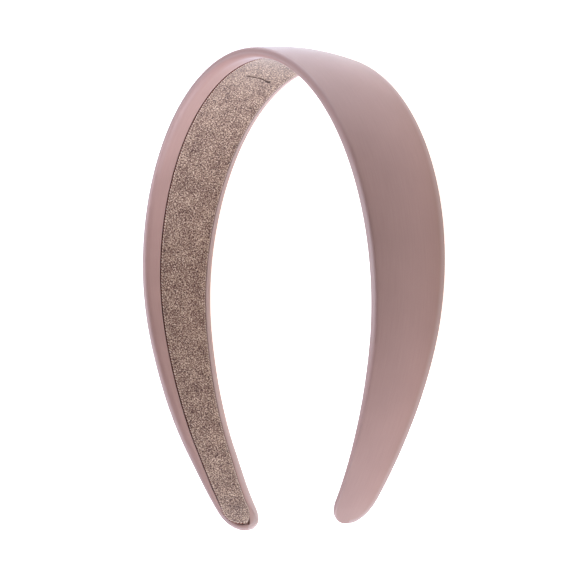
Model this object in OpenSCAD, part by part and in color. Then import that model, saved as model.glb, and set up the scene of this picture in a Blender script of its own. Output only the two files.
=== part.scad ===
// Hard headband: a bent hard band wrapped in satin, with a woven lining strip between the turned-in edges.
// It lies on its rear edge: X runs from leg to leg, +Y points to the crown, +Z points up to the front edge.
// Positions along the band are arc lengths from the middle of the crown, on the inner face.
// In a section, v runs across the width (rear is negative) and n runs outwards from the inner face.

/* [Arch] */
// Radius of the crown and shoulders on the inner face
crown_radius = 67.5; // [62:0.5:72]
// Degrees turned from the middle of the crown to the start of a leg
crown_turn = 115; // [108:1:120]
// Radius of a leg on the inner face
leg_radius = 127; // [110:1:160]
// Degrees turned along a leg, down to its tip
leg_turn = 25.5; // [18:0.5:28]

/* [Width] */
// Width at the middle of the crown
crown_width = 30; // [27:0.5:34]
// Width at half the height
half_height_width = 24.5; // [23:0.1:26]
// Width where a tip begins to round off
tip_width = 12.6; // [12.4:0.2:15]
// Length of a round tip
tip_length = 8.4; // [7.6:0.2:10]

/* [Section] */
// Thickness of the satin wall
satin_wall = 1; // [1:0.05:1.3]
// Thickness of the hard band inside
core_wall = 1; // [0.8:0.05:1.2]
// Gap between two layers
layer_gap = 0.06; // [0.05:0.01:0.1]
// How far the middle of the crown swells out beyond its rims
crown_camber = 1; // [0:0.1:1.2]
// How far a rounded rim reaches in from the edge
rim_reach = 1.2; // [1:0.05:1.3]

/* [Inside] */
// Satin margin along the front edge at the crown
front_margin = 6.6; // [5:0.2:8]
// Satin margin along the front edge at a tip
front_margin_at_tip = 1.8; // [1.75:0.05:2.2]
// Satin margin along the rear edge at the crown
rear_margin = 2; // [1.8:0.1:2.6]
// Satin margin along the rear edge at a tip
rear_margin_at_tip = 3.1; // [2.6:0.1:3.4]
// Satin left between the end of the lining's slot and the tip
end_margin = 2; // [1.9:0.05:2.1]
// Gap between the lining and the margins
seam_gap = 0.2; // [0.1:0.05:0.3]

/* [Detail] */
// Straight steps between the two round tips
body_steps = 76; // [60:2:80]
// Steps across a layer
across_steps = 6; // [5:1:6]
// Steps round a rim
rim_steps = 5; // [4:1:6]

/* [Hidden] */

degrees_per_radian = 180 / PI;
total_wall = 2 * satin_wall + 2 * layer_gap + core_wall;
chamber_floor = satin_wall;
chamber_roof = total_wall - satin_wall;
// How far the hard band's chamber stays in from the edge, and the band's own gap to its sides
chamber_inset = 1.5;
side_gap = 0.1;
// The camber starts at this share of the height, so the tips stay flat across
camber_start = 0.1;
// How quickly each margin reaches its crown width above the tips: 1 is evenly all the way
front_fade = 4.4;
rear_fade = 1;
// Least share of a width or thickness kept at the very end of a round tip
least_kept = 0.03;
// The slot's edges stay within this share of the flat between the rims
flat_share = 0.99;
// A rim takes up no more than this share of a narrow tip's half width
rim_share = 0.9;

// Arc lengths of the crown's half and of the whole half band
crown_length = crown_radius * crown_turn / degrees_per_radian;
half_length = crown_length + leg_radius * leg_turn / degrees_per_radian;
body_length = half_length - tip_length;

// The arch's middle line on the inner face: how far it has turned, and where it is
function turned(s) = abs(s) <= crown_length
    ? abs(s) / crown_radius * degrees_per_radian
    : crown_turn + (abs(s) - crown_length) / leg_radius * degrees_per_radian;
leg_centre = (crown_radius - leg_radius) * [sin(crown_turn), cos(crown_turn)] - [0, crown_radius];
function side(s) = s < 0 ? -1 : 1;
function inner_line(s) = abs(s) <= crown_length
    ? crown_radius * [sin(turned(s)), cos(turned(s)) - 1]
    : leg_centre + leg_radius * [sin(turned(s)), cos(turned(s))];
function on_band(s, v, n) = let (p = inner_line(s) + n * [sin(turned(s)), cos(turned(s))])
    [side(s) * p[0], p[1], v];

// Share of the height: 0 at the tips and 1 at the crown
arch_height = -inner_line(half_length)[1];
function share(s) = max(0, 1 + inner_line(s)[1] / arch_height);

// The taper: width by height share, as a parabola through the three stated widths
pull_width = 2 * half_height_width - (crown_width + tip_width) / 2;
function half_width(h) =
    (crown_width * h * h + 2 * pull_width * h * (1 - h) + tip_width * (1 - h) * (1 - h)) / 2;
function half_width_slope(h) = crown_width * h + pull_width * (1 - 2 * h) - tip_width * (1 - h);
function camber(h) = crown_camber * max(0, h - camber_start) / (1 - camber_start);

// Lining slot: the front margin is narrower near the tips, and the rear one is wider
function front_edge(h) = half_width(h) - front_margin
    + (front_margin - front_margin_at_tip) * pow(1 - h, front_fade);
function rear_edge(h) = -half_width(h) + rear_margin
    + (rear_margin_at_tip - rear_margin) * pow(1 - h, rear_fade);

// A quarter ellipse that falls from 1 to its least value as reach goes from 0 to 1
function rounding(reach) = reach <= 0 ? 1 : max(least_kept, sqrt(max(0, 1 - reach * reach)));
// How much of its width a layer keeps in the round tip; the layer ends "inset" short of the tip
function kept(s, inset) = rounding((abs(s) - body_length) / (tip_length - inset));
// How much of its thickness the cover keeps in its end rim
function thick_kept(s) = rounding((abs(s) - half_length + rim_reach) / rim_reach);

// Stations from tip to tip; the shares of the tip's length are closer together towards its end
tip_shares = [0.2, 0.38, 0.52, 0.6, 0.66, 0.7, 0.74, 0.78, 0.86, 0.92, 0.965, 0.99, 0.999];
lining_end = 0.66;
slot_end = 0.7;
core_end = 0.74;
chamber_end = 0.78;
function reversed(list) = [for (i = [len(list) - 1 : -1 : 0]) list[i]];
function stations(last_share) =
    let (tip = [for (f = tip_shares) if (f <= last_share) body_length + f * tip_length])
    concat(
        [for (s = reversed(tip)) -s],
        [for (i = [0 : body_steps]) body_length * (2 * i / body_steps - 1)],
        tip);

// A layer swells with the camber, which is 0 at the rims of the full width
function swell(s, v) = let (h = share(s), a = half_width(h)) camber(h) * max(0, 1 - v * v / (a * a));
function point(s, v, n) = on_band(s, v, n + swell(s, v));

// The resting pose: the rear edge bows a little, so the band balances on it above its centre of mass
weights = [for (i = [0 : body_steps]) half_width(share(body_length * (2 * i / body_steps - 1)))];
heights = [for (i = [0 : body_steps]) share(body_length * (2 * i / body_steps - 1))];
balance_share = (weights * heights) / (weights * [for (w = weights) 1]);
rest_share = balance_share
    - half_width(balance_share) * half_width_slope(balance_share) / (arch_height * arch_height);
rest_tilt = atan(half_width_slope(rest_share) / arch_height);
function tilted(p) = [
    p[0],
    p[1] * cos(rest_tilt) - p[2] * sin(rest_tilt),
    p[1] * sin(rest_tilt) + p[2] * cos(rest_tilt)];

// One quad between two stations, as two triangles
function quad(a, b, c, d) = [[a, b, c], [a, c, d]];
function flat_list(lists) = [for (list = lists) for (item = list) item];

// The cover's section: the outer ring from the slot's rear edge round to its front edge
function slot_middle(s) = (front_edge(share(s)) + rear_edge(share(s))) / 2;
function slot_half(s) = (front_edge(share(s)) - rear_edge(share(s))) / 2 * kept(s, end_margin);
function cover_ring(s) = let (
        a = half_width(share(s)) * kept(s, 0),
        reach = min(rim_reach, rim_share * a),
        half_wall = total_wall / 2 * thick_kept(s),
        low = total_wall / 2 - half_wall,
        high = total_wall / 2 + half_wall,
        flat_half = flat_share * (a - reach),
        narrow = slot_half(s),
        middle = slot_middle(s) * kept(s, end_margin))
    concat(
        [point(s, max(middle - narrow, -flat_half), low)],
        [for (k = [0 : rim_steps]) let (turn = -90 + 180 * k / rim_steps)
            point(s, reach - a - reach * cos(turn), total_wall / 2 + half_wall * sin(turn))],
        [for (k = [1 : across_steps - 1]) point(s, (a - reach) * (2 * k / across_steps - 1), high)],
        [for (k = [rim_steps : -1 : 0]) let (turn = -90 + 180 * k / rim_steps)
            point(s, a - reach + reach * cos(turn), total_wall / 2 + half_wall * sin(turn))],
        [point(s, min(middle + narrow, flat_half), low)]);

// The cover's inner ring: from the slot's front edge round the chamber to the slot's rear edge
function chamber_half(s) = (half_width(share(s)) - chamber_inset) * kept(s, chamber_inset);
function chamber_ring(s) = let (
        c = chamber_half(s),
        middle = slot_middle(s) * kept(s, end_margin),
        narrow = slot_half(s))
    concat(
        [point(s, middle + narrow, chamber_floor), point(s, c, chamber_floor)],
        [for (k = [0 : across_steps]) point(s, c * (1 - 2 * k / across_steps), chamber_roof)],
        [point(s, -c, chamber_floor), point(s, middle - narrow, chamber_floor)]);

outer_count = 2 * rim_steps + across_steps + 3;
chamber_count = across_steps + 5;
cover_stations = stations(1);
cover_count = len(cover_stations);
// Two positions closer than this are one station
same_place = 0.0001;
function station_of(list, share_of_tip) = [for (i = [0 : len(list) - 1])
    if (abs(list[i] + body_length + share_of_tip * tip_length) < same_place) i][0];
slot_first = station_of(cover_stations, slot_end);
chamber_first = station_of(cover_stations, chamber_end);
slot_last = cover_count - 1 - slot_first;
chamber_last = cover_count - 1 - chamber_first;

cover_points = concat(
    flat_list([for (s = cover_stations) cover_ring(s)]),
    flat_list([for (i = [chamber_first : chamber_last]) chamber_ring(cover_stations[i])]));
function outer_at(i, j) = i * outer_count + j % outer_count;
function chamber_at(i, j) =
    cover_count * outer_count + (i - chamber_first) * chamber_count + j % chamber_count;

// The chamber's end wall, zipped between its four floor points and its roof points
floor_places = [1, 0, across_steps + 4, across_steps + 3];
function chamber_end_faces(i) = concat(
    [for (k = [0 : across_steps - 1]) let (f = floor_places[floor(k * 4 / across_steps)])
        [chamber_at(i, f), chamber_at(i, k + 2), chamber_at(i, k + 3)]],
    [for (m = [0 : 2]) let (k = ceil((m + 1) * across_steps / 4))
        [chamber_at(i, floor_places[m + 1]), chamber_at(i, floor_places[m]), chamber_at(i, k + 2)]]);
// A tip's end, fanned out from a point on its rear rim
fan_start = 3;
function tip_faces(i) = [for (j = [fan_start + 1 : fan_start + outer_count - 2])
    [outer_at(i, fan_start), outer_at(i, j), outer_at(i, j + 1)]];
function reversed_faces(faces) = [for (f = faces) [f[2], f[1], f[0]]];
function slot_is_shut(i) = i < slot_first || i >= slot_last;

// Which faces each gap between two stations has: walls all round, the slot's sides, or the closed floor
cover_faces = flat_list(concat(
    [for (i = [0 : cover_count - 2]) for (j = [0 : outer_count - 2])
        quad(outer_at(i, j), outer_at(i + 1, j), outer_at(i + 1, j + 1), outer_at(i, j + 1))],
    [for (i = [chamber_first : chamber_last - 1]) for (j = [0 : chamber_count - 2])
        quad(chamber_at(i, j), chamber_at(i + 1, j), chamber_at(i + 1, j + 1), chamber_at(i, j + 1))],
    [for (i = [slot_first : slot_last - 1]) let (b = outer_count - 1)
        quad(outer_at(i, b), outer_at(i + 1, b), chamber_at(i + 1, 0), chamber_at(i, 0))],
    [for (i = [slot_first : slot_last - 1]) let (d = chamber_count - 1)
        quad(chamber_at(i, d), chamber_at(i + 1, d), outer_at(i + 1, 0), outer_at(i, 0))],
    [for (i = [0 : cover_count - 2]) let (b = outer_count - 1) if (slot_is_shut(i))
        quad(outer_at(i, b), outer_at(i + 1, b), outer_at(i + 1, 0), outer_at(i, 0))],
    [for (i = [chamber_first : chamber_last - 1]) let (d = chamber_count - 1) if (slot_is_shut(i))
        quad(chamber_at(i, d), chamber_at(i + 1, d), chamber_at(i + 1, 0), chamber_at(i, 0))],
    [let (i = slot_last, b = outer_count - 1, d = chamber_count - 1)
        quad(outer_at(i, 0), chamber_at(i, d), chamber_at(i, 0), outer_at(i, b))],
    [let (i = slot_first, b = outer_count - 1, d = chamber_count - 1)
        quad(outer_at(i, 0), outer_at(i, b), chamber_at(i, 0), chamber_at(i, d))],
    [chamber_end_faces(chamber_first)],
    [reversed_faces(chamber_end_faces(chamber_last))],
    [tip_faces(0)],
    [reversed_faces(tip_faces(cover_count - 1))]));

// A plain strip between two levels, from its rear edge to its front edge
function strip_ring(s, rear, front, low, high, steps) = concat(
    [for (k = [0 : steps]) point(s, front + (rear - front) * k / steps, low)],
    [for (k = [0 : steps]) point(s, rear + (front - rear) * k / steps, high)]);
function loft_faces(count, ring) = concat(
    flat_list([for (i = [0 : count - 2]) for (j = [0 : ring - 1]) let (n = (j + 1) % ring)
        quad(i * ring + j, (i + 1) * ring + j, (i + 1) * ring + n, i * ring + n)]),
    flat_list([for (k = [0 : ring / 2 - 2])
        quad(k, k + 1, ring - 2 - k, ring - 1 - k)]),
    flat_list([for (k = [0 : ring / 2 - 2]) let (e = (count - 1) * ring)
        quad(e + ring - 1 - k, e + ring - 2 - k, e + k + 1, e + k)]));

// The whole is centred over its outline and set down on its lowest point
placed_cover = [for (p = cover_points) tilted(p)];
middle_y = (min([for (p = placed_cover) p[1]]) + max([for (p = placed_cover) p[1]])) / 2;
lowest_z = min([for (p = placed_cover) p[2]]);

module set_down() {
    translate([0, -middle_y, -lowest_z])
        rotate([rest_tilt, 0, 0])
            children();
}

module satin_cover() {
    color([0.76, 0.62, 0.61])
        set_down()
            polyhedron(cover_points, cover_faces, convexity = 10);
}

module hard_band() {
    core_stations = stations(core_end);
    low = chamber_floor + layer_gap;
    high = chamber_roof - layer_gap;
    points = flat_list([for (s = core_stations) let (c = chamber_half(s) - side_gap)
        strip_ring(s, -c, c, low, high, across_steps)]);
    color([0.9, 0.89, 0.86])
        set_down()
            polyhedron(points, loft_faces(len(core_stations), 2 * across_steps + 2), convexity = 10);
}

// The lining is narrower than the hard band, so fewer steps go across it
lining_steps = across_steps - 2;

module lining() {
    lining_stations = stations(lining_end);
    points = flat_list([for (s = lining_stations)
        let (middle = slot_middle(s) * kept(s, end_margin), c = slot_half(s) - seam_gap)
        strip_ring(s, middle - c, middle + c, 0, satin_wall, lining_steps)]);
    color([0.66, 0.53, 0.46])
        set_down()
            polyhedron(points, loft_faces(len(lining_stations), 2 * lining_steps + 2), convexity = 10);
}

satin_cover();
hard_band();
lining();
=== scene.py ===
# %% [markdown]
# A satin-covered hard headband
#
# The real object is a thin springy band of plastic, bent to an arch. Satin is stretched round it and turned
# in along both edges, and a woven tape is glued over the middle of the inner face. This lesson makes the
# cloth: each piece is drawn flat, as it was cut, and then bent round the arch, which is also how the real
# one is made. The frame is the CAD model, which stays as it is. Its numbers are repeated here in
# millimetres.

# %% Load the frame
import math
from functools import partial

import bmesh
import bpy
import numpy as np
from mathutils import Matrix, Vector


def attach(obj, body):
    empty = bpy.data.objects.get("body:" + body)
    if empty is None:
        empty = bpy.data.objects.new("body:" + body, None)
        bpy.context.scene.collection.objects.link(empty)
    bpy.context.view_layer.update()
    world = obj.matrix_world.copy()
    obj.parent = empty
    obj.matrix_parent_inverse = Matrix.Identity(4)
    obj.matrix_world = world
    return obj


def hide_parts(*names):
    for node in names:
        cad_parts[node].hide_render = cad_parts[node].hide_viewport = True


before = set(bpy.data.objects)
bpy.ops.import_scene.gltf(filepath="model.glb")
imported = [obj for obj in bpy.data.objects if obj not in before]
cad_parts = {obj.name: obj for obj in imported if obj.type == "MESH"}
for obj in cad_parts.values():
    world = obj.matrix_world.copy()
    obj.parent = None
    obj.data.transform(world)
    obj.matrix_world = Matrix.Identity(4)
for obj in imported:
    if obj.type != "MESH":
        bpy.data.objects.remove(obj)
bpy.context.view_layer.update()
MM = 0.001

# %% [markdown]
# The arch
#
# Seen from above, the inner face is a row of arcs that run on from each other: one round the crown and the
# shoulders, and a flatter one down each leg. Every place on the band is then three numbers: s, the arc
# length from the middle of the crown; v, the place across the width, with the front edge above zero; and n,
# the distance out from the inner face. Working in these numbers keeps the cloth flat until it is bent.

# %% Sizes of the arch
CROWN_RADIUS = 67.5
CROWN_TURN = math.radians(115)
LEG_RADIUS = 127
LEG_TURN = math.radians(25.5)
CROWN_WIDTH = 30
HALF_HEIGHT_WIDTH = 24.5
TIP_WIDTH = 12.6
TIP_LENGTH = 8.4
WALL = 3.12
CAMBER = 1
CAMBER_START = 0.1
LEFT, RIGHT = -1, 1

CROWN_LENGTH = CROWN_RADIUS * CROWN_TURN
HALF_LENGTH = CROWN_LENGTH + LEG_RADIUS * LEG_TURN
BODY_LENGTH = HALF_LENGTH - TIP_LENGTH
PULL_WIDTH = 2 * HALF_HEIGHT_WIDTH - (CROWN_WIDTH + TIP_WIDTH) / 2


def fall(s):
    """How far the inner face has come down from the crown at arc length s."""
    s = np.abs(s)
    on_leg = np.maximum(0, s - CROWN_LENGTH)
    turned = np.minimum(s, CROWN_LENGTH) / CROWN_RADIUS + on_leg / LEG_RADIUS
    crown = CROWN_RADIUS * (1 - np.cos(turned))
    leg = CROWN_RADIUS - (CROWN_RADIUS - LEG_RADIUS) * math.cos(CROWN_TURN) - LEG_RADIUS * np.cos(turned)
    return np.where(s <= CROWN_LENGTH, crown, leg)


ARCH_HEIGHT = float(fall(HALF_LENGTH))


def height_share(s):
    """0 at the tips and 1 at the crown."""
    return np.maximum(0, 1 - fall(s) / ARCH_HEIGHT)


def half_width(s):
    h = height_share(s)
    return (CROWN_WIDTH * h * h + 2 * PULL_WIDTH * h * (1 - h) + TIP_WIDTH * (1 - h) ** 2) / 2


def swell(s, v):
    """The band is slightly domed across: it stands out most along its middle."""
    camber = CAMBER * np.maximum(0, height_share(s) - CAMBER_START) / (1 - CAMBER_START)
    return camber * np.maximum(0, 1 - (v / half_width(s)) ** 2)


print(f"Band {2 * HALF_LENGTH:.1f} mm long, arch {ARCH_HEIGHT:.1f} mm high")

# %% [markdown]
# One helper for nodes
#
# Bending and every finish are node trees. A single small function adds a node, sets its properties and
# joins its sockets, so each tree reads as a list of what it does. Colours are written as the hex values
# seen on a screen, and one function turns them into the linear values that the shaders work in.

# %% Node and colour helpers
def add(tree, kind, inputs=None, **settings):
    """Adds a node. Inputs are by name or number, and each is a value, or a node or socket to join."""
    node = tree.nodes.new(kind)
    for name, value in settings.items():
        setattr(node, name, value)
    for name, value in (inputs or {}).items():
        if isinstance(value, bpy.types.Node):
            value = value.outputs[0]
        if isinstance(value, bpy.types.NodeSocket):
            tree.links.new(value, node.inputs[name])
        else:
            node.inputs[name].default_value = value
    return node


def linear(hex_colour):
    """An sRGB hex colour as linear red, green, blue and alpha."""
    channels = [int(hex_colour[i:i + 2], 16) / 255 for i in (1, 3, 5)]
    return [c / 12.92 if c <= 0.04045 else ((c + 0.055) / 1.055) ** 2.4 for c in channels] + [1]


# %% [markdown]
# Bending the flat cloth
#
# The flat piece lies with s along X, v along Y and n along Z. A Geometry Nodes tree moves each point to its
# place on the arch, turns the band to the pose in which it rests on its rear edge, and sets it down on the
# floor. A rule fits this better than sculpting: change a radius, and every layer follows. The tree has
# named inputs for its sizes.

# %% The bending tree
REST_TILT = math.radians(2.80576)
MIDDLE_Y, LOWEST_Z = -68.9213, -15.7268
REST = {
    "Crown radius": CROWN_RADIUS * MM,
    "Crown length": CROWN_LENGTH * MM,
    "Leg radius": LEG_RADIUS * MM,
    "Rest tilt": REST_TILT,
    "Middle Y": MIDDLE_Y * MM,
    "Lowest Z": LOWEST_Z * MM,
}


def bending_tree():
    tree = bpy.data.node_groups.new("Bend round the arch", "GeometryNodeTree")
    face = tree.interface
    face.new_socket("Flat piece", in_out="INPUT", socket_type="NodeSocketGeometry")
    for name, value in REST.items():
        face.new_socket(name, in_out="INPUT", socket_type="NodeSocketFloat").default_value = value
    face.new_socket("Finish", in_out="INPUT", socket_type="NodeSocketMaterial")
    face.new_socket("Bent piece", in_out="OUTPUT", socket_type="NodeSocketGeometry")
    node = partial(add, tree)
    given = node("NodeGroupInput").outputs
    radius, crown_length, leg_radius = given["Crown radius"], given["Crown length"], given["Leg radius"]
    place = node("ShaderNodeSeparateXYZ", {0: node("GeometryNodeInputPosition")})
    s, v, n = place.outputs
    along = node("ShaderNodeMath", {0: s}, operation="ABSOLUTE")
    side = node("ShaderNodeMath", {0: s}, operation="SIGN")
    # How far the arch has turned at this place: round the crown, and then along the leg
    crown_turn = node("ShaderNodeMath", {0: crown_length, 1: radius}, operation="DIVIDE")
    past = node("ShaderNodeMath", {0: along, 1: crown_length}, operation="SUBTRACT")
    past_crown = node("ShaderNodeMath", {0: past, 1: 0.0}, operation="MAXIMUM")
    on_crown = node("ShaderNodeMath", {0: along, 1: crown_length}, operation="MINIMUM")
    first_turn = node("ShaderNodeMath", {0: on_crown, 1: radius}, operation="DIVIDE")
    second_turn = node("ShaderNodeMath", {0: past_crown, 1: leg_radius}, operation="DIVIDE")
    turned = node("ShaderNodeMath", {0: first_turn, 1: second_turn}, operation="ADD")
    # The leg's arc has another centre, further across, so that it runs on from the crown's without a kink
    on_leg = node("ShaderNodeMath", {0: along, 1: crown_length}, operation="GREATER_THAN")
    wider = node("ShaderNodeMath", {0: radius, 1: leg_radius}, operation="SUBTRACT")
    shift = node("ShaderNodeMath", {0: on_leg, 1: wider}, operation="MULTIPLY")
    own_radius = node("ShaderNodeMath", {0: radius, 1: shift}, operation="SUBTRACT")
    reach = node("ShaderNodeMath", {0: own_radius, 1: n}, operation="ADD")
    sine_start = node("ShaderNodeMath", {0: crown_turn}, operation="SINE")
    sine = node("ShaderNodeMath", {0: turned}, operation="SINE")
    cosine_start = node("ShaderNodeMath", {0: crown_turn}, operation="COSINE")
    cosine = node("ShaderNodeMath", {0: turned}, operation="COSINE")
    centre_across = node("ShaderNodeMath", {0: shift, 1: sine_start}, operation="MULTIPLY")
    centre_up = node("ShaderNodeMath", {0: shift, 1: cosine_start}, operation="MULTIPLY")
    across = node("ShaderNodeMath", {0: reach, 1: sine, 2: centre_across}, operation="MULTIPLY_ADD")
    up = node("ShaderNodeMath", {0: reach, 1: cosine, 2: centre_up}, operation="MULTIPLY_ADD")
    left_or_right = node("ShaderNodeMath", {0: side, 1: across}, operation="MULTIPLY")
    from_crown = node("ShaderNodeMath", {0: up, 1: radius}, operation="SUBTRACT")
    bent = node("ShaderNodeCombineXYZ", {0: left_or_right, 1: from_crown, 2: v})
    tilted = node("ShaderNodeVectorRotate", {"Vector": bent, "Angle": given["Rest tilt"]},
                  rotation_type="X_AXIS")
    down = node("ShaderNodeCombineXYZ", {1: given["Middle Y"], 2: given["Lowest Z"]})
    set_down = node("ShaderNodeVectorMath", {0: tilted, 1: down}, operation="SUBTRACT")
    moved = node("GeometryNodeSetPosition", {"Geometry": given["Flat piece"], "Position": set_down})
    real = node("GeometryNodeRealizeInstances", {0: moved})
    dressed = node("GeometryNodeSetMaterial", {"Geometry": real, "Material": given["Finish"]})
    node("NodeGroupOutput", {0: dressed})
    return tree


BEND = bending_tree()
print("Bending tree:", len(BEND.nodes), "nodes")


def run_tree(piece, tree, values):
    """Runs a Geometry Nodes tree on a piece, and keeps the result as its plain mesh."""
    modifier = piece.modifiers.new(tree.name, "NODES")
    modifier.node_group = tree
    for item in tree.interface.items_tree:
        if item.in_out == "INPUT" and item.name in values:
            modifier[item.identifier] = values[item.name]
    evaluated = piece.evaluated_get(bpy.context.evaluated_depsgraph_get())
    made = bpy.data.meshes.new_from_object(evaluated)
    flat = piece.data
    piece.modifiers.remove(modifier)
    piece.data = made
    made.name = piece.name
    bpy.data.meshes.remove(flat)
    return piece


# %% [markdown]
# A band that isn't quite even
#
# A moulded band is thinnest at its tips, where it has to give against the head. The outer face comes in
# there, so the inner face keeps its curve. The photo's band is also bent a little out of true, as one that
# has been worn is. Its tips turn up to the front edge, the left leg is bent in halfway down, and the right
# one stands out. These small departures are plain functions of the distance from the tip, added to every
# layer alike.

# %% Small departures from the arch
# How much thinner the ends are, and the distances from the tip at which that is full and gone
THIN_END = 1.7
THIN_TO, THIN_FROM = 8, 60
# How much further the outside is domed than the inside
DOME = 0.6
# How far each tip turns up to the front edge
LEAN_LENGTH = 36
LEAN = {LEFT: 1.9, RIGHT: -0.2}
# How far each leg stands out, how far from the tip that is most, and how far it spreads
LEG_SET = {LEFT: (-1.8, 68, 23), RIGHT: (0.5, 40, 60)}
# How far askew the lining's left end is
END_DRIFT = 1.5
DRIFT_LENGTH = 9
# How much longer each rounded tip is than in the CAD model
TIP_EXTRA = 0.8


def smooth_step(x, low, high):
    t = np.clip((x - low) / (high - low), 0, 1)
    return t * t * (3 - 2 * t)


def from_end(s):
    return HALF_LENGTH - np.abs(s)


def thinning(s):
    """The band is thinner at its tips: how far in its outer face has moved."""
    return THIN_END * (1 - smooth_step(from_end(s), THIN_TO, THIN_FROM))


def lean(s):
    """In the photo the tips turn up a little to the front edge, the left one more than the right."""
    most = np.where(s < 0, LEAN[LEFT], LEAN[RIGHT])
    return most * (1 - smooth_step(from_end(s), 0, LEAN_LENGTH))


def leg_set(s):
    """Neither leg follows its arc quite: the left one is bent in halfway down, the right one stands out."""
    out = np.zeros_like(s)
    for end, (most, place, spread) in LEG_SET.items():
        out += (np.sign(s) == end) * most * np.exp(-((from_end(s) - place) / spread) ** 2)
    return out


def end_drift(s):
    """The lining was laid a little askew at the left end, towards the front edge."""
    return (s < 0) * END_DRIFT * (1 - smooth_step(from_end(s), -TIP_EXTRA, DRIFT_LENGTH))


print(f"Thickness {WALL:.1f} mm at the crown and {WALL - THIN_END:.1f} mm at the tips")

# %% [markdown]
# Rows along the band
#
# All the layers share one way of placing their points. Rows run from one tip to the other, close together
# round the tips. In a row, a point is a distance in from the band's outline and a depth. The outline of a
# tip is half an ellipse, a little squared, so round the tips the rows fan out, and a hem keeps its width.

# %% Rows and lines
TIP_POWER = 0.85
TIP = TIP_LENGTH + TIP_EXTRA
TIP_ROWS = 44
BODY_ROWS = 330
ROUND = np.radians(np.linspace(90, 0, TIP_ROWS, endpoint=False))
FAN = np.concatenate([ROUND, np.zeros(BODY_ROWS + 1), ROUND[::-1]])
STRAIGHT = np.concatenate([
    np.full(TIP_ROWS, -BODY_LENGTH),
    np.linspace(-BODY_LENGTH, BODY_LENGTH, BODY_ROWS + 1),
    np.full(TIP_ROWS, BODY_LENGTH),
])
END = np.sign(STRAIGHT) * (FAN > 0)
OUTLINE = STRAIGHT + END * TIP * np.sin(FAN) ** TIP_POWER
HALF = half_width(OUTLINE)
WALL_SHARE = 1 - thinning(OUTLINE) / WALL
FRONT, REAR = 1, -1
# Points nearer to each other than the first become one, and edges shorter than the second go
MERGE, SLIVER = 0.004, 0.001


def line(side, inset, end_inset, depth, drift=0):
    """One line of points along the band: s, v and n. Depth is outwards from the inner face, at the crown."""
    s = STRAIGHT + END * (TIP - end_inset) * np.sin(FAN) ** TIP_POWER
    v = side * (HALF - inset) * np.cos(FAN) ** TIP_POWER
    dome = DOME * np.maximum(0, 1 - (v / HALF) ** 2) * depth / WALL
    n = depth * (1 - thinning(s) / WALL) + dome + swell(s, v) + leg_set(s)
    return np.stack([s, v + lean(s) + drift * end_drift(s), n], axis=1)


def flat_piece(name, sides, cloth, mark=None, distances=None):
    """A mesh from each side's lines, joined where the two sides meet.

    Cloth gives each line its place on the cut. Mark names a second UV map, and distances gives each line's
    distance from what it marks, such as a seam.
    """
    mesh = bpy.data.meshes.new(name)
    points, faces, cut, away = [], [], [], []
    for side, lines in sides.items():
        if mark:
            away.extend(np.stack(distances[side], axis=1).ravel())
        first = len(points)
        rows, columns = len(FAN), len(lines)
        grid = np.stack(lines, axis=1).reshape(-1, 3)
        points.extend(grid)
        cut.extend(np.stack(cloth[side], axis=1).reshape(-1, 2))
        for i in range(rows - 1):
            for j in range(columns - 1):
                a = first + i * columns + j
                face = (a, a + columns, a + columns + 1, a + 1)
                faces.append(face if side == FRONT else face[::-1])
    mesh.from_pydata([[c * MM for c in p] for p in points], [], faces)
    layer = mesh.uv_layers.new(name="cut")
    corners = np.empty(len(mesh.loops), dtype=np.int32)
    mesh.loops.foreach_get("vertex_index", corners)
    layer.data.foreach_set("uv", np.array(cut, dtype=np.float32)[corners].ravel())
    if mark:
        layer = mesh.uv_layers.new(name=mark)
        both = np.stack([away, away], axis=1).astype(np.float32)
        layer.data.foreach_set("uv", both[corners].ravel())
    work = bmesh.new()
    work.from_mesh(mesh)
    bmesh.ops.remove_doubles(work, verts=work.verts, dist=MERGE * MM)
    bmesh.ops.dissolve_degenerate(work, edges=work.edges, dist=SLIVER * MM)
    for face in work.faces:
        face.smooth = True
    work.to_mesh(mesh)
    work.free()
    piece = bpy.data.objects.new(name, mesh)
    bpy.context.scene.collection.objects.link(piece)
    return piece


# %% [markdown]
# The satin
#
# Satin is cut wider than the band, stretched over the outside, folded round both rims and glued down on the
# inner face, where its two margins leave a slot for the lining. The front margin is wide at the crown and
# runs out towards the tips, and the rear one widens a little. The widths are read off the photo and follow
# the fall of the arch.

# %% Margins of the satin
FRONT_MARGIN, FRONT_DROP, FRONT_FADE = 6.6, 6.1, 2.3
REAR_MARGIN, REAR_MARGIN_AT_TIP = 2, 3.1
END_MARGIN = 0.6
RIM_REACH = 0.8
ROUND_IN, ROUND_SHARE = 2.4, 0.9
FOLD_RADIUS = 0.26
SLOT_DEPTH = 0.82


def margin(side):
    """Width of satin between the band's edge and the slot."""
    low = 1 - height_share(OUTLINE)
    if side == FRONT:
        return FRONT_MARGIN - FRONT_DROP * low ** FRONT_FADE
    return REAR_MARGIN + (REAR_MARGIN_AT_TIP - REAR_MARGIN) * low


print("Front margin at the crown and at a tip:", margin(FRONT)[len(FAN) // 2], margin(FRONT)[0])

# %% [markdown]
# Pleats
#
# Round a tip the outline is shorter further in, so the spare cloth is pushed into small pleats when it is
# turned in. Each is a low ridge with a soft cross section, and it flattens out where the tip passes into
# the leg.

# %% Pleats at the tips
# Each pleat is a low ridge: its place across the tip, how it slants, its width and its height
PLEATS = {
    LEFT: ((-3.0, 0.1, 0.3, 0.26), (-3.9, 0.2, 0.34, 0.34), (-5.0, 0.24, 0.3, 0.22)),
    RIGHT: ((-3.5, 0.12, 0.4, 0.3), (-2.2, 0.02, 0.36, 0.22), (-5.0, 0.2, 0.4, 0.2)),
}
PLEAT_START = 9
PLEAT_FULL = 5
PLEAT_ON_FOLD, PLEAT_ON_MARGIN, PLEAT_ON_RIM = 0.25, 0.65, 0.45


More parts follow.
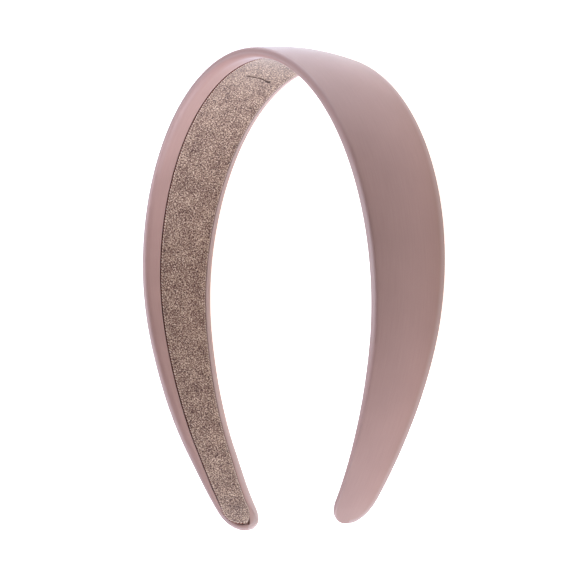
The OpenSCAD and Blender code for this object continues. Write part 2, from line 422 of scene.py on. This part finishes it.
def pleat_lift(s, v):
    """Height of the pleats at a place on the inner face, towards the head."""
    lift = np.zeros_like(s)
    gathered = 1 - smooth_step(from_end(s), PLEAT_FULL, PLEAT_START)
    for end, pleats in PLEATS.items():
        here = (np.sign(s) == end) * gathered
        for centre, slant, width, height in pleats:
            off = v - centre - slant * (PLEAT_FULL - from_end(s))
            lift += here * height * np.exp(-(off / width) ** 2)
    return lift


# %% [markdown]
# One side of the wrap
#
# I draw one side of the wrap at a time, from the hem under the lining, up over the fold, across the margin
# and round the rim, to the middle of the outside. The flat cut is worked out by walking along each row, so
# the cloth's pattern isn't stretched where it is folded. A second map says how far each place is from the
# rim, which the finish uses for a painted highlight there.

# %% Lines of the satin
HEM_WIDTH = 1.6
# The least distance that the finish reads on a rim: the rear rim gets a stronger painted highlight than the
# front one
HIGHLIGHT_LEAST_AWAY = {FRONT: 1.4, REAR: 0.2}
HEM_STEPS, SLOT_STEPS, FOLD_STEPS, MARGIN_STEPS, RIM_STEPS, OUTER_STEPS = 2, 2, 4, 9, 6, 13


def satin_side(side):
    """Lines from the hem to the middle of the outside, their places on the cut, and how far from the rim."""
    lines = []
    wide = margin(side) + (end_drift(OUTLINE) if side == REAR else 0)
    reach_out = RIM_REACH * WALL_SHARE
    reach_in = np.minimum(ROUND_IN * WALL_SHARE, ROUND_SHARE * (wide - FOLD_RADIUS))
    end_in = min(ROUND_IN * WALL_SHARE[0], ROUND_SHARE * (END_MARGIN - FOLD_RADIUS))
    for hem in np.linspace(HEM_WIDTH, 0, HEM_STEPS, endpoint=False):
        lines.append(line(side, wide + hem, END_MARGIN + hem, SLOT_DEPTH))
    for depth in np.linspace(SLOT_DEPTH, FOLD_RADIUS, SLOT_STEPS, endpoint=False):
        lines.append(line(side, wide, END_MARGIN, depth))
    for turn in np.linspace(0, math.pi / 2, FOLD_STEPS + 1):
        back = FOLD_RADIUS * (1 - math.cos(turn))
        lines.append(line(side, wide - back, END_MARGIN - back, FOLD_RADIUS * (1 - math.sin(turn))))
    for t in np.linspace(0, 1, MARGIN_STEPS + 1)[1:-1]:
        inset = (wide - FOLD_RADIUS) * (1 - t) + reach_in * t
        flat = line(side, inset, (END_MARGIN - FOLD_RADIUS) * (1 - t) + end_in * t, 0)
        share = math.sin(math.pi * (PLEAT_ON_FOLD + PLEAT_ON_MARGIN * t))
        flat[:, 2] -= pleat_lift(flat[:, 0], flat[:, 1]) * share
        lines.append(flat)
    for turn in np.linspace(-math.pi / 2, 0, RIM_STEPS, endpoint=False):
        inwards = 1 - math.cos(turn)
        rim = line(side, reach_in * inwards, end_in * inwards, WALL / 2 * (1 + math.sin(turn)))
        rim[:, 2] -= pleat_lift(rim[:, 0], rim[:, 1]) * PLEAT_ON_RIM * -math.sin(turn)
        lines.append(rim)
    for turn in np.linspace(0, math.pi / 2, RIM_STEPS + 1):
        inset = reach_out * (1 - math.cos(turn))
        lines.append(line(side, inset, inset, WALL / 2 * (1 + math.sin(turn))))
    rim_end = len(lines) - 1
    for t in np.linspace(0, 1, OUTER_STEPS + 1)[1:]:
        inset = reach_out + (HALF - reach_out) * t
        lines.append(line(side, inset, inset, WALL))
    outermost = rim_end - RIM_STEPS
    # The rear rim's painted highlight covers the whole rim, the front one's only its outermost line
    highlight_lines = (outermost, outermost) if side == FRONT else (outermost - RIM_STEPS + 1, rim_end)
    return lines, flat_cut(lines, rim_end), from_rim(lines, *highlight_lines, HIGHLIGHT_LEAST_AWAY[side])


def from_rim(lines, first, last, least):
    """How far each line is from where the rim's painted highlight is fullest, lines first to last, counted as
    least.
    """
    away = [np.full(len(FAN), least) for points in lines]
    for k in range(last + 1, len(lines)):
        away[k] = away[k - 1] + np.linalg.norm(lines[k] - lines[k - 1], axis=1)
    for k in range(first - 1, -1, -1):
        away[k] = away[k + 1] + np.linalg.norm(lines[k] - lines[k + 1], axis=1)
    return away


def flat_cut(lines, rim_end):
    """On the outside the cut is the place itself. Past the rim it runs on by the cloth's own length."""
    cut = [points[:, :2].copy() for points in lines]
    outwards = lines[rim_end - RIM_STEPS][:, :2] - lines[rim_end][:, :2]
    outwards /= np.linalg.norm(outwards, axis=1)[:, None]
    walked = np.zeros(len(FAN))
    for k in range(rim_end - 1, -1, -1):
        walked += np.linalg.norm(lines[k] - lines[k + 1], axis=1)
        cut[k] = lines[rim_end][:, :2] + outwards * walked[:, None]
    return cut


satin_lines, satin_cut, satin_rim = {}, {}, {}
for side in (FRONT, REAR):
    satin_lines[side], satin_cut[side], satin_rim[side] = satin_side(side)
satin = flat_piece("satin", satin_lines, satin_cut, "rim", satin_rim)

# %% [markdown]
# The lining
#
# The lining is a woven tape that fills the slot. Its edges are rounded and its middle is a touch proud of
# the satin. Along the rear it lies close against the satin, and along the front there is an open seam. Its
# left end was laid a little askew, and both ends have come up, which leaves the dark gap that shows there.
# I draw it as a closed strip, from its underside round the edge to the middle of its face.

# %% Lines of the lining
LINING_THICK = 0.72
EDGE_RADIUS = 0.3
SEAM = {FRONT: 0.36, REAR: 0.12}
OVERHANG = {FRONT: 0.6, REAR: 0.1}
OVERHANG_TO, OVERHANG_FROM = 5, 13
END_GAP = 0.15
PROUD = 0.1
END_LIFT = {LEFT: 0.7, RIGHT: 0.25}
LIFT_LENGTH = 12
UNDER_STEPS, EDGE_STEPS, FACE_STEPS = 4, 8, 14
# Added to distances from the rear edge, so that the painted seam shade darkens the front edge alone
FAR_FROM_SEAM = 20


def lining_edge(side):
    """Distance from the band's edge to the lining's. At the left tip the lining reaches over the satin."""
    loose = (OUTLINE < 0) * (1 - smooth_step(from_end(OUTLINE), OVERHANG_TO, OVERHANG_FROM))
    return margin(side) + SEAM[side] - OVERHANG[side] * loose


def lift_end(points):
    """The last few millimetres of the lining have come up from the band."""
    most = np.where(points[:, 0] < 0, END_LIFT[LEFT], END_LIFT[RIGHT])
    points[:, 2] -= most * (1 - smooth_step(from_end(points[:, 0]), -TIP_EXTRA, LIFT_LENGTH))
    return points


def lining_side(side):
    """Lines from the middle of the underside to the middle of the face, and how far each is from the seam."""
    lines, away = [], []
    edge = lining_edge(side)
    end_edge = END_MARGIN + END_GAP
    middle = HALF - side * (margin(REAR) - margin(FRONT)) / 2
    far = 0 if side == FRONT else FAR_FROM_SEAM

    def across(share, depth):
        """Share is 0 at the edge and 1 in the middle."""
        inset = (edge + EDGE_RADIUS) * (1 - share) + middle * share
        end_inset = np.minimum(TIP, end_edge + EDGE_RADIUS + (middle - edge - EDGE_RADIUS) * share)
        lines.append(line(side, inset, end_inset, depth, 1))
        return inset - edge

    for share in np.linspace(1, 0, UNDER_STEPS, endpoint=False):
        across(share, LINING_THICK)
        away.append(np.full(len(FAN), far))
    for turn in np.linspace(math.pi / 2, -math.pi / 2, EDGE_STEPS + 1):
        out = EDGE_RADIUS * (1 - math.cos(turn))
        lines.append(line(side, edge + out, end_edge + out, LINING_THICK / 2 * (1 + math.sin(turn)), 1))
        away.append(np.full(len(FAN), max(0, -turn) / (math.pi / 2) * EDGE_RADIUS + far))
    for share in np.linspace(0, 1, FACE_STEPS + 1)[1:]:
        away.append(across(share, -PROUD * math.sin(math.pi / 2 * share)) + far)
    lines = [lift_end(points) for points in lines]
    return lines, away


lining_lines, lining_cut, lining_seam = {}, {}, {}
for side in (FRONT, REAR):
    lining_lines[side], lining_seam[side] = lining_side(side)
    lining_cut[side] = [points[:, :2] for points in lining_lines[side]]
lining = flat_piece("lining_tape", lining_lines, lining_cut, "seam", lining_seam)

# %% [markdown]
# The selvedges
#
# A woven tape keeps its edges from fraying with a selvedge, where the weft turns back round the outermost
# warp yarn. On the real lining it shows as a pale, beaded line. It repeats hundreds of times along a path,
# so a second Geometry Nodes tree lays small slanted loops along each edge, and hands them to the bending
# tree.

# %% Selvedge loops
LOOP_PITCH = 1.05
LOOP_LENGTH, LOOP_WIDTH, LOOP_HEIGHT = 0.98, 0.34, 0.26
LOOP_SLANT = 0.42
LOOP_SINK = 0.02
LOOP_INSET = 0.22
LEAST_LOOP, MOST_LOOP = (0.8, 0.7, 0.7), (1.1, 1.15, 1.15)
LOOP_SIZES = {"Pitch": LOOP_PITCH * MM, "Length": LOOP_LENGTH * MM, "Width": LOOP_WIDTH * MM,
              "Height": LOOP_HEIGHT * MM, "Slant": LOOP_SLANT, "Seed": 7}


def selvedge_tree():
    tree = bpy.data.node_groups.new("Selvedge loops", "GeometryNodeTree")
    face = tree.interface
    face.new_socket("Edge line", in_out="INPUT", socket_type="NodeSocketGeometry")
    for name, value in LOOP_SIZES.items():
        kind = "NodeSocketInt" if name == "Seed" else "NodeSocketFloat"
        face.new_socket(name, in_out="INPUT", socket_type=kind).default_value = value
    face.new_socket("Finish", in_out="INPUT", socket_type="NodeSocketMaterial")
    face.new_socket("Loops", in_out="OUTPUT", socket_type="NodeSocketGeometry")
    node = partial(add, tree)
    given = node("NodeGroupInput").outputs
    edge = node("GeometryNodeMeshToCurve", {0: given["Edge line"]})
    spaced = node("GeometryNodeResampleCurve", {"Curve": edge, "Length": given["Pitch"]}, mode="LENGTH")
    ball = node("GeometryNodeMeshUVSphere", {"Segments": 8, "Rings": 5, "Radius": 0.5})
    size = node("ShaderNodeCombineXYZ", {0: given["Length"], 1: given["Width"], 2: given["Height"]})
    loop = node("GeometryNodeTransform", {"Geometry": ball, "Scale": size})
    path = node("GeometryNodeInputTangent")
    along = node("FunctionNodeAlignRotationToVector", {"Vector": path}, axis="X")
    slant = node("ShaderNodeCombineXYZ", {2: given["Slant"]})
    turned = node("FunctionNodeRotateRotation", {"Rotation": along, "Rotate By": slant},
                  rotation_space="LOCAL")
    uneven = node("FunctionNodeRandomValue", {"Min": LEAST_LOOP, "Max": MOST_LOOP, "Seed": given["Seed"]},
                  data_type="FLOAT_VECTOR")
    laid = node("GeometryNodeInstanceOnPoints",
                {"Points": spaced, "Instance": loop, "Rotation": turned, "Scale": uneven})
    real = node("GeometryNodeRealizeInstances", {0: laid})
    soft = node("GeometryNodeSetShadeSmooth", {0: real})
    dressed = node("GeometryNodeSetMaterial", {"Geometry": soft, "Material": given["Finish"]})
    node("NodeGroupOutput", {0: dressed})
    return tree


def edge_line(side):
    """The line along the tape's edge on which the loops lie."""
    inset, end_inset = lining_edge(side) + LOOP_INSET, END_MARGIN + END_GAP + LOOP_INSET
    return [[c * MM for c in p] for p in lift_end(line(side, inset, end_inset, LOOP_SINK, 1))]


def selvedge_piece():
    """The two edge lines as bare edges, which the tree dresses with loops."""
    mesh = bpy.data.meshes.new("selvedge_loops")
    points, joins = [], []
    for side in (FRONT, REAR):
        first = len(points)
        points += edge_line(side)
        joins += [(k, k + 1) for k in range(first, len(points) - 1)]
    mesh.from_pydata(points, joins, [])
    piece = bpy.data.objects.new("selvedge_loops", mesh)
    bpy.context.scene.collection.objects.link(piece)
    return piece


selvedge = selvedge_piece()
SELVEDGE = selvedge_tree()
print("Selvedge tree:", len(SELVEDGE.nodes), "nodes")

# %% [markdown]
# The band inside
#
# Under the cloth is a strip of moulded plastic. It is hidden, but the satin and the tape are glued to it,
# so it is a closed strip with rounded edges that thins towards the tips with the rest.

# %% Lines of the band
BAND_INNER, BAND_OUTER = 1.08, 2.85
BAND_INSET = 0.5
BAND_EDGE_STEPS, BAND_FACE_STEPS = 8, 6


def band_side(side):
    """Lines from the middle of the inner face, round the edge, to the middle of the outer face."""
    lines = []
    inset = BAND_INSET * WALL_SHARE
    half_thick = (BAND_OUTER - BAND_INNER) / 2
    radius = half_thick * WALL_SHARE

    def across(share, depth):
        """Share is 0 where the rounded edge begins and 1 in the middle."""
        in_from_edge = (inset + radius) * (1 - share) + HALF * share
        lines.append(line(side, in_from_edge, in_from_edge, depth))

    for share in np.linspace(1, 0, BAND_FACE_STEPS, endpoint=False):
        across(share, BAND_INNER)
    for turn in np.linspace(-math.pi / 2, math.pi / 2, BAND_EDGE_STEPS + 1):
        in_from_edge = inset + radius * (1 - math.cos(turn))
        lines.append(line(side, in_from_edge, in_from_edge, BAND_INNER + half_thick * (1 + math.sin(turn))))
    for share in np.linspace(0, 1, BAND_FACE_STEPS + 1)[1:]:
        across(share, BAND_OUTER)
    return lines, [points[:, :2].copy() for points in lines]


band_lines, band_cut = {}, {}
for side in (FRONT, REAR):
    band_lines[side], band_cut[side] = band_side(side)
band = flat_piece("moulded_band", band_lines, band_cut)
print("Band inside:", len(band.data.polygons), "faces")

# %% [markdown]
# A loose thread
#
# At the middle of the crown a dark sewing thread lies across the lining, with a small knot at its end. It
# is a tube round a smooth curve, drawn flat like the rest and bent with them.

# %% Lay the thread
THREAD_PLACES = [(-2.6, 1.6), (-3.0, 0.2), (-3.2, -1.3), (-3.2, -2.6), (-3.3, -3.8), (-3.8, -4.9),
                 (-4.5, -6.0), (-5.2, -7.0), (-5.1, -7.6), (-4.6, -8.0)]
THREAD_RADIUS = 0.16
THREAD_PRESSED = 0.6
KNOT = 1.6
KNOT_POINTS = 3


def thread_piece():
    curve = bpy.data.curves.new("loose_thread", "CURVE")
    curve.dimensions = "3D"
    spline = curve.splines.new("NURBS")
    spline.points.add(len(THREAD_PLACES) - 1)
    spline.order_u = 4
    spline.use_endpoint_u = True
    spline.resolution_u = 8
    for point, (s, v) in zip(spline.points, THREAD_PLACES):
        depth = float(swell(s, v)) - PROUD - THREAD_RADIUS * THREAD_PRESSED
        point.co = (s * MM, v * MM, depth * MM, 1)
    for point in spline.points[-KNOT_POINTS:]:
        point.radius = KNOT
    curve.bevel_depth = THREAD_RADIUS * MM
    curve.bevel_resolution = 3
    curve.use_fill_caps = True
    drawn = bpy.data.objects.new("loose_thread", curve)
    bpy.context.scene.collection.objects.link(drawn)
    evaluated = drawn.evaluated_get(bpy.context.evaluated_depsgraph_get())
    mesh = bpy.data.meshes.new_from_object(evaluated)
    bpy.data.objects.remove(drawn)
    piece = bpy.data.objects.new("loose_thread", mesh)
    bpy.context.scene.collection.objects.link(piece)
    return piece


thread = thread_piece()
print("Thread:", len(thread.data.vertices), "points")

# %% [markdown]
# Satin
#
# Dusty-pink polyester satin: long warp floats run along the band, so the cloth has hardly any visible
# weave. What the eye gets is a soft gloss that spreads across the threads, a whitish bloom where the
# surface turns away, and very faint streaks along the threads. Real warp threads are under 0.1 mm apart,
# too fine for the picture, so the streaks are drawn 0.4 mm apart. Over the rims the colour is painted a
# little paler and greyer, a painted highlight for the bloom the rims catch, stronger on the rear rim.

# %% Satin finish
STREAK_PITCH = 0.4
STREAK_LENGTH = 9
CLOUD_SIZE = 14
SATIN_DARK, SATIN_LIGHT = "#93726B", "#9C7A72"
# Painted highlight: the paler, greyer colour painted over the rims, and the distances where it is full and
# gone
RIM_PAINTED_HIGHLIGHT = "#A8918C"
HIGHLIGHT_FULL_AT, HIGHLIGHT_GONE_AT = 0.4, 2.2
SATIN_ROUGHNESS = 0.45
SATIN_SHEEN = 0.5


def satin_material():
    material = bpy.data.materials.new("Polyester satin, dusty pink")
    material.use_nodes = True
    tree = material.node_tree
    tree.nodes.clear()
    node = partial(add, tree)
    cut = node("ShaderNodeUVMap", uv_map="cut")
    along = node("ShaderNodeMapping", {"Vector": cut, "Scale": (1 / STREAK_LENGTH, 1 / STREAK_PITCH, 1)})
    streaks = node("ShaderNodeTexNoise", {"Vector": along, "Scale": 1, "Detail": 3, "Roughness": 0.6})
    clouds = node("ShaderNodeTexNoise", {"Vector": cut, "Scale": 1 / CLOUD_SIZE, "Detail": 2})
    mixed = node("ShaderNodeMix", {0: 0.5, 2: streaks.outputs[0], 3: clouds.outputs[0]})
    colour = node("ShaderNodeValToRGB", {0: mixed})
    for stop, place, tone in zip(colour.color_ramp.elements, (0.3, 0.7), (SATIN_DARK, SATIN_LIGHT)):
        stop.position, stop.color = place, linear(tone)
    # The rims are painted paler and greyer: a painted highlight for their whitish bloom
    rim = node("ShaderNodeSeparateXYZ", {0: node("ShaderNodeUVMap", uv_map="rim")})
    off_highlight = node("ShaderNodeMapRange", {
        "Value": rim.outputs[0], "From Min": HIGHLIGHT_FULL_AT, "From Max": HIGHLIGHT_GONE_AT},
        interpolation_type="SMOOTHSTEP")
    with_painted_light = node("ShaderNodeMix", {0: off_highlight, 6: linear(RIM_PAINTED_HIGHLIGHT), 7: colour}, data_type="RGBA")
    relief = node("ShaderNodeBump", {"Strength": 0.12, "Distance": 0.05 * MM, "Height": streaks.outputs[0]})
    threads = node("ShaderNodeTangent", direction_type="UV_MAP", uv_map="cut")
    shader = node("ShaderNodeBsdfPrincipled", {
        "Base Color": with_painted_light.outputs[2], "Normal": relief, "Tangent": threads,
        "Roughness": SATIN_ROUGHNESS, "Specular IOR Level": 0.39,
        "Anisotropic": 0.5, "Anisotropic Rotation": 0.25,
        "Sheen Weight": SATIN_SHEEN, "Sheen Roughness": 0.25, "Sheen Tint": linear("#E8F0FF")})
    node("ShaderNodeOutputMaterial", {0: shader})
    return material


satin_finish = satin_material()
print("Satin finish:", len(satin_finish.node_tree.nodes), "nodes")

# %% [markdown]
# Lining
#
# A polyester tape in a broken twill, taupe weft over brown warp. Diagonal ribs cross in short floats, with
# pale raised yarns, dark gaps between them, and patches where one yarn shows more than the other. The real
# floats are about 0.6 mm apart, at the limit of what the picture shows, so they are drawn 0.78 mm apart.
# The tape's front edge is painted dark brown: painted shade for the shadow in the open seam.

# %% Lining finish
FLOAT_PITCH = 0.78
WANDER = 2.4
CROSS_RATE = 0.85
YARN_SIZE = 0.55
PATCH_SIZE = 5
# How much each pattern counts for in the height of the weave
RIB_SHARE, CROSS_SHARE, YARN_SHARE, PATCH_SHARE = 0.15, 0.1, 1.1, 0.3
LINING_COLOURS = ((0.5, "#3E2620"), (0.64, "#6E5248"), (0.78, "#8D7363"), (0.9, "#AB9280"), (0.98, "#C9B29F"))
# Painted shade: the seam's shadow painted dark brown along the tape's front edge, full and gone at these
# distances
SEAM_PAINTED_SHADE = "#6A3526"
SHADE_FULL_AT, SHADE_GONE_AT = 0.22, 0.45


def lining_material():
    material = bpy.data.materials.new("Woven polyester twill, taupe")
    material.use_nodes = True
    tree = material.node_tree
    tree.nodes.clear()
    node = partial(add, tree)
    cut = node("ShaderNodeUVMap", uv_map="cut")
    # The yarns of a soft tape never lie quite straight, so the place is shifted before the ribs are drawn
    wander = node("ShaderNodeTexNoise", {"Vector": cut, "Scale": 0.9, "Detail": 2}, noise_dimensions="2D")
    shift = node("ShaderNodeVectorMath", {0: wander.outputs[1], 1: (0.5, 0.5, 0.5)}, operation="SUBTRACT")
    shifted = node("ShaderNodeVectorMath", {0: shift, 1: (WANDER, WANDER, 0), 2: cut},
                   operation="MULTIPLY_ADD")
    place = node("ShaderNodeSeparateXYZ", {0: shifted})
    turn = 2 * math.pi / (FLOAT_PITCH * math.sqrt(2))
    down = node("ShaderNodeMath", {0: place.outputs[0], 1: place.outputs[1]}, operation="ADD")
    rise = node("ShaderNodeMath", {0: place.outputs[0], 1: place.outputs[1]}, operation="SUBTRACT")
    down_turn = node("ShaderNodeMath", {0: down, 1: turn}, operation="MULTIPLY")
    rise_turn = node("ShaderNodeMath", {0: rise, 1: turn * CROSS_RATE}, operation="MULTIPLY")
    ribs = node("ShaderNodeMath", {0: down_turn}, operation="SINE")
    cross = node("ShaderNodeMath", {0: rise_turn}, operation="SINE")
    yarns = node("ShaderNodeTexNoise", {"Vector": cut, "Scale": 1 / YARN_SIZE, "Detail": 2, "Roughness": 0.7},
                 noise_dimensions="2D")
    patches = node("ShaderNodeTexNoise", {"Vector": cut, "Scale": 1 / PATCH_SIZE, "Detail": 3},
                   noise_dimensions="2D")
    ribbed = node("ShaderNodeMath", {0: ribs, 1: RIB_SHARE, 2: 0.0}, operation="MULTIPLY_ADD")
    crossed = node("ShaderNodeMath", {0: cross, 1: CROSS_SHARE, 2: ribbed}, operation="MULTIPLY_ADD")
    speckled = node("ShaderNodeMath", {0: yarns.outputs[0], 1: YARN_SHARE, 2: crossed},
                    operation="MULTIPLY_ADD")
    height = node("ShaderNodeMath", {0: patches.outputs[0], 1: PATCH_SHARE, 2: speckled},
                  operation="MULTIPLY_ADD")
    colour = node("ShaderNodeValToRGB", {0: height})
    ramp = colour.color_ramp
    for position, tone in LINING_COLOURS:
        ramp.elements.new(position).color = linear(tone)
    ramp.elements.remove(ramp.elements[0])
    ramp.elements.remove(ramp.elements[-1])
    # The front edge of the tape is painted dark where it meets the satin: painted shade for the seam's shadow
    seam = node("ShaderNodeSeparateXYZ", {0: node("ShaderNodeUVMap", uv_map="seam")})
    unshaded = node("ShaderNodeMapRange", {
        "Value": seam.outputs[0], "From Min": SHADE_FULL_AT, "From Max": SHADE_GONE_AT})
    with_painted_light = node("ShaderNodeMix", {0: unshaded, 6: linear(SEAM_PAINTED_SHADE), 7: colour}, data_type="RGBA")
    relief = node("ShaderNodeBump", {"Strength": 0.5, "Distance": 0.12 * MM, "Height": height})
    shader = node("ShaderNodeBsdfPrincipled", {
        "Base Color": with_painted_light.outputs[2], "Normal": relief, "Roughness": 0.6, "Specular IOR Level": 0.3,
        "Sheen Weight": 0.3, "Sheen Roughness": 0.35, "Sheen Tint": linear("#FFFFFF")})
    node("ShaderNodeOutputMaterial", {0: shader})
    return material


lining_finish = lining_material()
print("Lining finish:", len(lining_finish.node_tree.nodes), "nodes")

# %% [markdown]
# Yarns and the band's own plastic
#
# The selvedge loops are of the lining's pale weft, and the loose thread is dark brown spun polyester: both
# are matt, with ply twists that catch a little light. The band inside is polystyrene, an even ivory with a
# fine moulded grain.

# %% Yarn and plastic finishes
PLY_PITCH = 0.35
GRAIN_SIZE = 0.3


def speckled_material(name, dark, light, size, roughness, sheen):
    material = bpy.data.materials.new(name)
    material.use_nodes = True
    tree = material.node_tree
    tree.nodes.clear()
    node = partial(add, tree)
    place = node("ShaderNodeTexCoord").outputs["Object"]
    specks = node("ShaderNodeTexNoise", {"Vector": place, "Scale": 1 / (size * MM), "Detail": 3})
    colour = node("ShaderNodeValToRGB", {0: specks.outputs[0]})
    for stop, spot, tone in zip(colour.color_ramp.elements, (0.35, 0.65), (dark, light)):
        stop.position, stop.color = spot, linear(tone)
    relief = node("ShaderNodeBump", {"Strength": 0.4, "Distance": 0.05 * MM, "Height": specks.outputs[0]})
    shader = node("ShaderNodeBsdfPrincipled", {
        "Base Color": colour, "Normal": relief, "Roughness": roughness, "Sheen Weight": sheen})
    node("ShaderNodeOutputMaterial", {0: shader})
    return material


weft_finish = speckled_material("Pale polyester weft yarn", "#B0937F", "#DCC6B6", PLY_PITCH, 0.6, 0.3)
thread_finish = speckled_material("Dark brown sewing thread", "#2A1510", "#47291F", PLY_PITCH, 0.65, 0.1)
plastic_finish = speckled_material("Moulded ivory polystyrene", "#D8D2C6", "#E2DDD2", GRAIN_SIZE, 0.5, 0)
print("Yarn and plastic finishes made")

# %% [markdown]
# Bend and dress every piece
#
# Each flat piece goes through the bending tree with its finish, and its mesh becomes plain. The satin then
# gets the thickness of cloth on its inner side.

# %% Bend, dress and attach
CLOTH_THICK = 0.2
run_tree(satin, BEND, {**REST, "Finish": satin_finish})
run_tree(lining, BEND, {**REST, "Finish": lining_finish})
run_tree(selvedge, SELVEDGE, {**LOOP_SIZES, "Finish": weft_finish})
run_tree(selvedge, BEND, {**REST, "Finish": weft_finish})
run_tree(thread, BEND, {**REST, "Finish": thread_finish})
run_tree(band, BEND, {**REST, "Finish": plastic_finish})
wall = satin.modifiers.new("cloth thickness", "SOLIDIFY")
wall.thickness = CLOTH_THICK * MM
wall.offset = -1

SLOTS = {satin: "satin", lining: "lining", selvedge: "lining", thread: "lining", band: "hard_band"}
for piece, slot in SLOTS.items():
    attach(piece, "root")
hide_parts("satin_cover")
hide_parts("lining")
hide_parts("hard_band")
for piece in SLOTS:
    print(piece.name, len(piece.data.polygons), "faces")

# %% [markdown]
# Floor and lights
#
# The headband lies on its rear edge on a white acrylic light table, which glows a little, so the shadows
# under the band stay faint. Large soft boxes stand past the crown and past the tips, each with a long low
# one in front of it, and a small one hangs over the middle. They leave the side towards the camera a little
# darker, which shapes the legs. The boxes are a little cooler than the table, as daylight tubes are.

# %% Floor and lights
FLOOR_SIZE = 6
COOL, WARM = "#E4EEFF", "#FFF5EC"
GLOW_MIDDLE = (0, 0, 0)
TABLE_GLOW = 0.68
NEAR_GLOW, NEAR_FULL, NEAR_GONE = 0.3, 0.06, 0.12
WORLD_GLOW = 0.05


def stage_floor():
    """The table glows all over, and a little more under the headband."""
    bpy.ops.mesh.primitive_plane_add(size=FLOOR_SIZE)
    floor = bpy.context.object
    floor.name = "floor"
    material = bpy.data.materials.new("White acrylic light table")
    material.use_nodes = True
    tree = material.node_tree
    tree.nodes.clear()
    node = partial(add, tree)
    place = node("ShaderNodeTexCoord").outputs["Object"]
    away = node("ShaderNodeVectorMath", {0: place, 1: GLOW_MIDDLE}, operation="DISTANCE")
    glow = node("ShaderNodeMapRange", {
        "Value": away.outputs["Value"], "From Min": NEAR_GONE, "From Max": NEAR_FULL,
        "To Min": TABLE_GLOW, "To Max": TABLE_GLOW + NEAR_GLOW}, interpolation_type="SMOOTHSTEP")
    shader = node("ShaderNodeBsdfPrincipled", {
        "Base Color": linear("#F2F1F0"), "Roughness": 0.7,
        "Emission Color": linear(WARM), "Emission Strength": glow})
    node("ShaderNodeOutputMaterial", {0: shader})
    floor.data.materials.append(material)


def soft_box(name, place, size, watts):
    """An area light that faces the middle of the headband."""
    light = bpy.data.lights.new(name, "AREA")
    light.shape = "RECTANGLE"
    light.size, light.size_y = size
    light.energy = watts
    light.color = linear(COOL)[:3]
    lamp = bpy.data.objects.new(name, light)
    lamp.location = place
    lamp.rotation_euler = (-Vector(place)).to_track_quat("-Z", "Y").to_euler()
    lamp.visible_camera = False
    bpy.context.scene.collection.objects.link(lamp)


stage_floor()
world = bpy.data.worlds.new("studio")
world.use_nodes = True
world.node_tree.nodes["Background"].inputs["Color"].default_value = linear("#FFFFFF")
world.node_tree.nodes["Background"].inputs["Strength"].default_value = WORLD_GLOW
bpy.context.scene.world = world
soft_box("past the crown", (-0.1, 0.9, 0.3), (1.2, 0.7), 5)
soft_box("past the tips", (-0.2, -0.9, 0.25), (1.2, 0.6), 6.5)
soft_box("low past the crown", (0, 0.5, 0.06), (0.8, 0.12), 1.6)
soft_box("low past the tips", (-0.15, -0.5, 0.06), (0.6, 0.12), 2.2)
soft_box("over the middle", (-0.1, 0, 0.45), (0.3, 0.4), 3.4)

# %% [markdown]
# The photo's camera
#
# The camera's place, direction and focal length were found by fitting the arch's outline to the photo's. It
# looks down from 30 degrees, and is turned on its side, so the crown is at the top of the picture.

# %% Camera
PHOTO_SIDE = 573
FOCAL_PIXELS = 1268.75
SENSOR_WIDTH = 36
CAMERA_PLACE = (0.33281, -0.07905, 0.2071)
AZIMUTH, ELEVATION, ROLL = (math.radians(angle) for angle in (76.5505, 30.1702, -85.987))


def photo_camera():
    back = Vector((math.sin(AZIMUTH) * math.cos(ELEVATION), -math.cos(AZIMUTH) * math.cos(ELEVATION),
                   math.sin(ELEVATION)))
    level = Vector((math.cos(AZIMUTH), math.sin(AZIMUTH), 0))
    rise = back.cross(level)
    right = math.cos(ROLL) * level + math.sin(ROLL) * rise
    up = math.cos(ROLL) * rise - math.sin(ROLL) * level
    camera = bpy.data.objects.new("camera", bpy.data.cameras.new("camera"))
    camera.data.sensor_width = SENSOR_WIDTH
    camera.data.lens = SENSOR_WIDTH * FOCAL_PIXELS / PHOTO_SIDE
    camera.data.clip_start = 0.01
    camera.matrix_world = Matrix.Translation(CAMERA_PLACE) @ Matrix((right, up, back)).transposed().to_4x4()
    bpy.context.scene.collection.objects.link(camera)
    bpy.context.scene.camera = camera


photo_camera()
bpy.context.scene.view_settings.view_transform = "Standard"
print(f"Lens {SENSOR_WIDTH * FOCAL_PIXELS / PHOTO_SIDE:.1f} mm")
